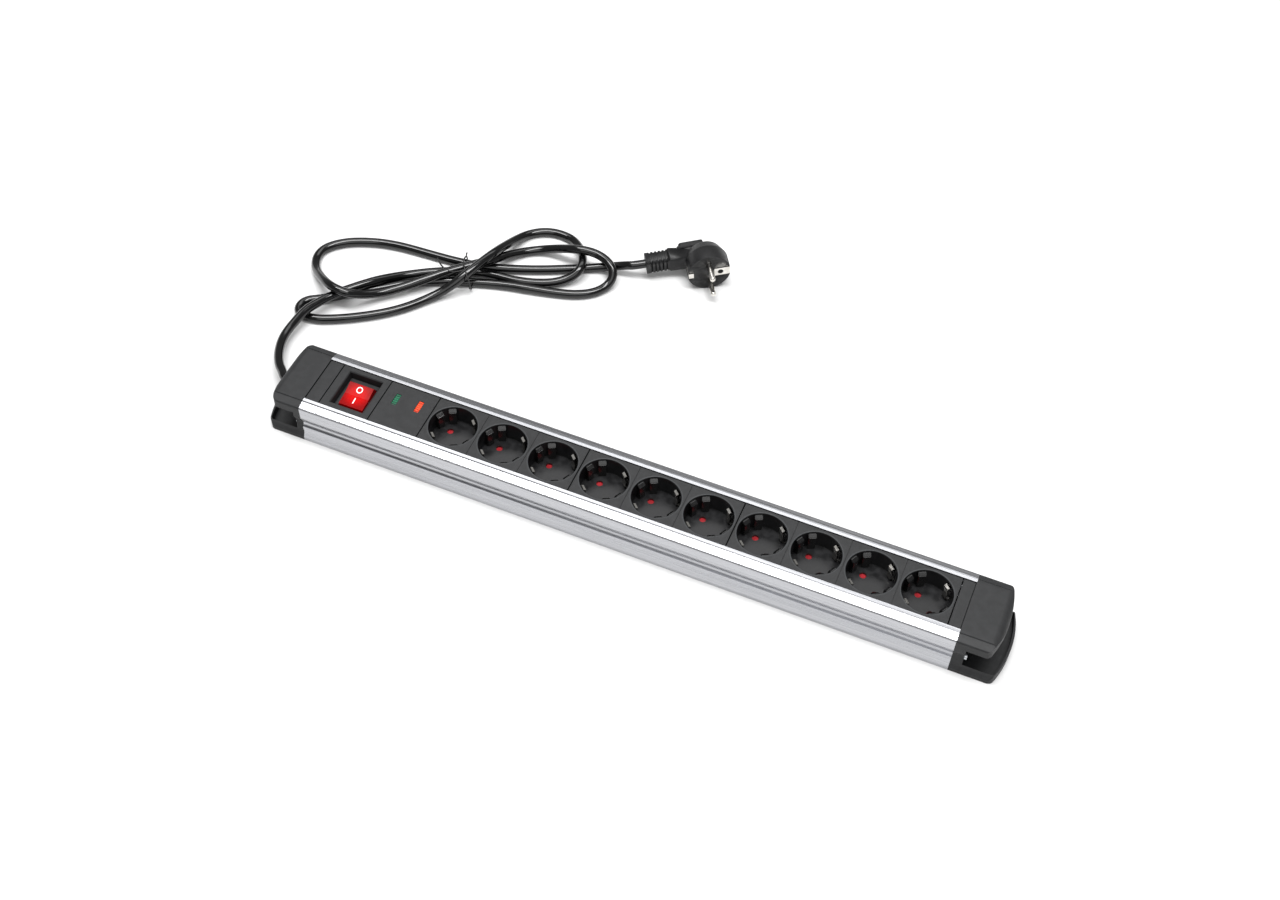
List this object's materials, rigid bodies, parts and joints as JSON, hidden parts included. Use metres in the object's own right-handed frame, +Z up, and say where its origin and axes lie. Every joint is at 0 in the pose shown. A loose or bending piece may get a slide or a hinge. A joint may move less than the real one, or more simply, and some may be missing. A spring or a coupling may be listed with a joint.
{
  "type": "power strip",
  "caption": "Long aluminium power strip with turned round earthed sockets, a lit rocker switch, surge indicators, open-mouthed end caps and a tied cord with an angled plug.",
  "frame": {"origin": "centre of the strip's footprint on the floor, without its cord and plug", "axes": "+X along the strip, from the cord end to the free end; +Y to the back, where the cord lies; +Z up"},
  "size_m": [0.6893, 0.3314, 0.0426],
  "materials": {
    "anodised_aluminium": "extruded, satin anodised",
    "black_abs": "fine spark texture",
    "red_rocker": "translucent, lit from inside",
    "green_lens": "translucent",
    "red_lens": "translucent",
    "red_shutter": "smooth",
    "nickel_brass": "nickel plated",
    "bare_brass": "stamped",
    "zinc_steel": "zinc plated",
    "grey_nylon": "moulded",
    "green_board": "solder mask",
    "blue_varistor": "dipped lacquer",
    "clear_glass": "clear",
    "brown_wire": "PVC",
    "blue_wire": "PVC",
    "earth_wire": "PVC, green and yellow",
    "black_cord": "glossy PVC sheath",
    "black_soft_pvc": "satin moulded PVC",
    "spring_steel": "drawn wire"
  },
  "bodies": {
    "strip": {"aluminium_profile": "anodised_aluminium", "left_end_cap": "black_abs", "right_end_cap": "black_abs", "left_blank_plate": "black_abs", "right_blank_plate": "black_abs", "switch_frame": "black_abs", "switch_housing": "black_abs", "rocker_pivot_pin": "zinc_steel", "switch_terminals": "bare_brass", "indicator_plate": "black_abs", "green_lens": "green_lens", "red_lens": "red_lens", "surge_board": "green_board", "indicator_leds": "clear_glass", "surge_varistors": "blue_varistor", "thermal_fuse": "clear_glass", "socket_block_1": "black_abs", "socket_block_2": "black_abs", "socket_block_3": "black_abs", "socket_base_1": "grey_nylon", "socket_base_2": "grey_nylon", "socket_base_3": "grey_nylon", "earth_frame_1": "nickel_brass", "earth_frame_2": "nickel_brass", "earth_frame_3": "nickel_brass", "live_busbar": "bare_brass", "neutral_busbar": "bare_brass", "shutter_springs": "spring_steel", "cap_screws": "zinc_steel", "cable_gland": "black_soft_pvc", "cord_clamp": "grey_nylon", "clamp_screws": "zinc_steel", "inner_sheath": "black_cord", "live_wires": "brown_wire", "neutral_wires": "blue_wire", "earth_wire": "earth_wire", "power_cord": "black_cord", "cord_tail": "black_cord", "cord_hank": "black_cord", "cord_tie": "black_soft_pvc", "plug_body": "black_soft_pvc", "plug_grip_pad": "black_soft_pvc", "plug_strain_relief": "black_soft_pvc", "plug_pins": "nickel_brass", "plug_earth_contacts": "nickel_brass"},
    "switch_rocker": {"switch_rocker": "red_rocker", "rocker_plungers": "grey_nylon", "switch_lamp": "clear_glass"},
    "live_arm": {"live_contact_arm": "bare_brass"},
    "neutral_arm": {"neutral_contact_arm": "bare_brass"},
    "shutter_01": {"shutter_01": "red_shutter"},
    "shutter_02": {"shutter_02": "red_shutter"},
    "shutter_03": {"shutter_03": "red_shutter"},
    "shutter_04": {"shutter_04": "red_shutter"},
    "shutter_05": {"shutter_05": "red_shutter"},
    "shutter_06": {"shutter_06": "red_shutter"},
    "shutter_07": {"shutter_07": "red_shutter"},
    "shutter_08": {"shutter_08": "red_shutter"},
    "shutter_09": {"shutter_09": "red_shutter"},
    "shutter_10": {"shutter_10": "red_shutter"}
  },
  "joints": [
    {"name": "rocker_tilt", "type": "hinge", "parent": "strip", "child": "switch_rocker", "pos_m": [-0.2413, 0.0006, 0.0317], "axis": [-1, 0, 0], "range_deg": [0, 24]},
    {"name": "live_arm_tilt", "type": "hinge", "parent": "strip", "child": "live_arm", "pos_m": [-0.2468, 0.0006, 0.0185], "axis": [-1, 0, 0], "range_deg": [-12, 0]},
    {"name": "neutral_arm_tilt", "type": "hinge", "parent": "strip", "child": "neutral_arm", "pos_m": [-0.2358, 0.0006, 0.0185], "axis": [-1, 0, 0], "range_deg": [-12, 0]},
    {"name": "shutter_01_turn", "type": "hinge", "parent": "strip", "child": "shutter_01", "pos_m": [-0.154, 0, 0.0206], "axis": [0, 0, 1], "range_deg": [0, 42], "stiffness_Nm_per_rad": 0.006},
    {"name": "shutter_02_turn", "type": "hinge", "parent": "strip", "child": "shutter_02", "pos_m": [-0.11, 0, 0.0206], "axis": [0, 0, 1], "range_deg": [0, 42], "stiffness_Nm_per_rad": 0.006},
    {"name": "shutter_03_turn", "type": "hinge", "parent": "strip", "child": "shutter_03", "pos_m": [-0.066, 0, 0.0206], "axis": [0, 0, 1], "range_deg": [0, 42], "stiffness_Nm_per_rad": 0.006},
    {"name": "shutter_04_turn", "type": "hinge", "parent": "strip", "child": "shutter_04", "pos_m": [-0.022, 0, 0.0206], "axis": [0, 0, 1], "range_deg": [0, 42], "stiffness_Nm_per_rad": 0.006},
    {"name": "shutter_05_turn", "type": "hinge", "parent": "strip", "child": "shutter_05", "pos_m": [0.022, 0, 0.0206], "axis": [0, 0, 1], "range_deg": [0, 42], "stiffness_Nm_per_rad": 0.006},
    {"name": "shutter_06_turn", "type": "hinge", "parent": "strip", "child": "shutter_06", "pos_m": [0.066, 0, 0.0206], "axis": [0, 0, 1], "range_deg": [0, 42], "stiffness_Nm_per_rad": 0.006},
    {"name": "shutter_07_turn", "type": "hinge", "parent": "strip", "child": "shutter_07", "pos_m": [0.11, 0, 0.0206], "axis": [0, 0, 1], "range_deg": [0, 42], "stiffness_Nm_per_rad": 0.006},
    {"name": "shutter_08_turn", "type": "hinge", "parent": "strip", "child": "shutter_08", "pos_m": [0.154, 0, 0.0206], "axis": [0, 0, 1], "range_deg": [0, 42], "stiffness_Nm_per_rad": 0.006},
    {"name": "shutter_09_turn", "type": "hinge", "parent": "strip", "child": "shutter_09", "pos_m": [0.198, 0, 0.0206], "axis": [0, 0, 1], "range_deg": [0, 42], "stiffness_Nm_per_rad": 0.006},
    {"name": "shutter_10_turn", "type": "hinge", "parent": "strip", "child": "shutter_10", "pos_m": [0.242, 0, 0.0206], "axis": [0, 0, 1], "range_deg": [0, 42], "stiffness_Nm_per_rad": 0.006}
  ],
  "couplings": [
    {"joint": "live_arm_tilt", "follows": "rocker_tilt", "ratio": -0.5},
    {"joint": "neutral_arm_tilt", "follows": "rocker_tilt", "ratio": -0.5}
  ]
}
